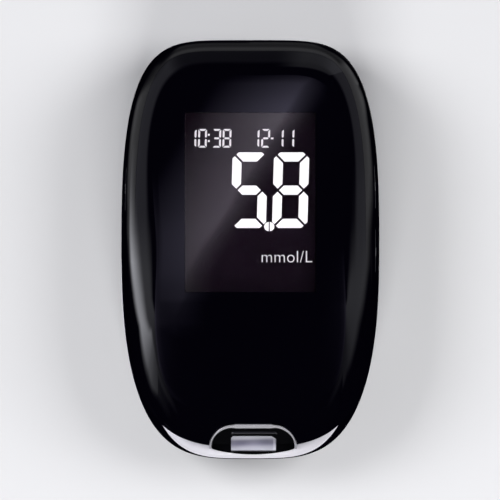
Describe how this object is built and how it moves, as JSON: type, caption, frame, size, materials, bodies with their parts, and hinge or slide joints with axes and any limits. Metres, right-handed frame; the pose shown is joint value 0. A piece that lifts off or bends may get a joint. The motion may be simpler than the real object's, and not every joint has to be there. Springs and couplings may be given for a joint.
{
  "type": "blood glucose meter",
  "caption": "Pocket blood glucose meter: glossy oval case with a display window, side buttons, a strip port in a silver end trim, a code chip and a battery door.",
  "frame": {"origin": "under the middle of the case, on the resting face of the back cover", "axes": "+X to the right as the display is read, +Y from the strip port to the top end, +Z out of the display"},
  "size_m": [0.0426, 0.069, 0.02],
  "materials": {
    "black_shell": "polished black moulding",
    "smoked_window": "smoked clear lens, glossy",
    "lcd": "dark negative display glass",
    "light_plate": "frosted acrylic",
    "white_plastic": "satin white moulding",
    "connector_rubber": "striped silicone",
    "circuit_board": "solder mask",
    "chip_black": "moulded epoxy",
    "bright_steel": "bright can",
    "ceramic": "fired ceramic",
    "grey_plastic": "matt moulding",
    "plunger_red": "moulded plunger",
    "button_black": "satin black moulding",
    "led_grey": "tinted epoxy",
    "infrared_black": "dark red filter plastic",
    "gold_contact": "gold plated spring",
    "port_black": "black moulding",
    "guide_grey": "polished grey moulding",
    "silver_trim": "satin silver paint",
    "chip_white": "satin white moulding",
    "spring_steel": "nickel plated spring",
    "cell_steel": "stainless can",
    "screw_steel": "zinc plated"
  },
  "bodies": {
    "case": {"front_cover": "black_shell", "display_window": "smoked_window", "lcd_glass": "lcd", "backlight_plate": "light_plate", "display_frame": "white_plastic", "rubber_connector": "connector_rubber", "main_board": "circuit_board", "board_chips": "chip_black", "clock_crystal": "bright_steel", "capacitors": "ceramic", "switch_bodies": "grey_plastic", "buzzer": "chip_black", "infrared_leds": "led_grey", "infrared_window": "infrared_black", "strip_connector": "chip_black", "strip_contacts": "gold_contact", "port_insert": "port_black", "strip_guide": "guide_grey", "end_trim": "silver_trim", "side_trims": "silver_trim", "code_chip_socket": "chip_black", "battery_holder": "grey_plastic", "positive_contact": "spring_steel", "negative_contact": "spring_steel", "top_coin_cell": "cell_steel", "bottom_coin_cell": "cell_steel", "back_cover": "black_shell", "case_screws": "screw_steel"},
    "left_arrow": {"left_arrow_button": "button_black", "left_arrow_plunger": "plunger_red"},
    "right_arrow": {"right_arrow_button": "button_black", "right_arrow_plunger": "plunger_red"},
    "power": {"power_button": "button_black", "power_plunger": "plunger_red"},
    "door": {"battery_door": "black_shell", "cell_bridge": "spring_steel"},
    "chip": {"code_chip": "chip_white"}
  },
  "joints": [
    {"name": "left_arrow_press", "type": "slide", "parent": "case", "child": "left_arrow", "axis": [-1, 0, 0], "range_m": [0, 0.0004], "stiffness_N_per_m": 1500, "springref_m": -0.0003},
    {"name": "right_arrow_press", "type": "slide", "parent": "case", "child": "right_arrow", "axis": [-1, 0, 0], "range_m": [0, 0.0004], "stiffness_N_per_m": 1500, "springref_m": -0.0003},
    {"name": "power_press", "type": "slide", "parent": "case", "child": "power", "axis": [1, 0, 0], "range_m": [0, 0.0004], "stiffness_N_per_m": 1500, "springref_m": -0.0003},
    {"name": "door_hinge", "type": "hinge", "parent": "case", "child": "door", "pos_m": [0, -0.0204, 0.0009], "axis": [-1, 0, 0], "range_deg": [0, 90]},
    {"name": "chip_slide", "type": "slide", "parent": "case", "child": "chip", "axis": [1, 0, 0], "range_m": [0, 0.009]}
  ]
}
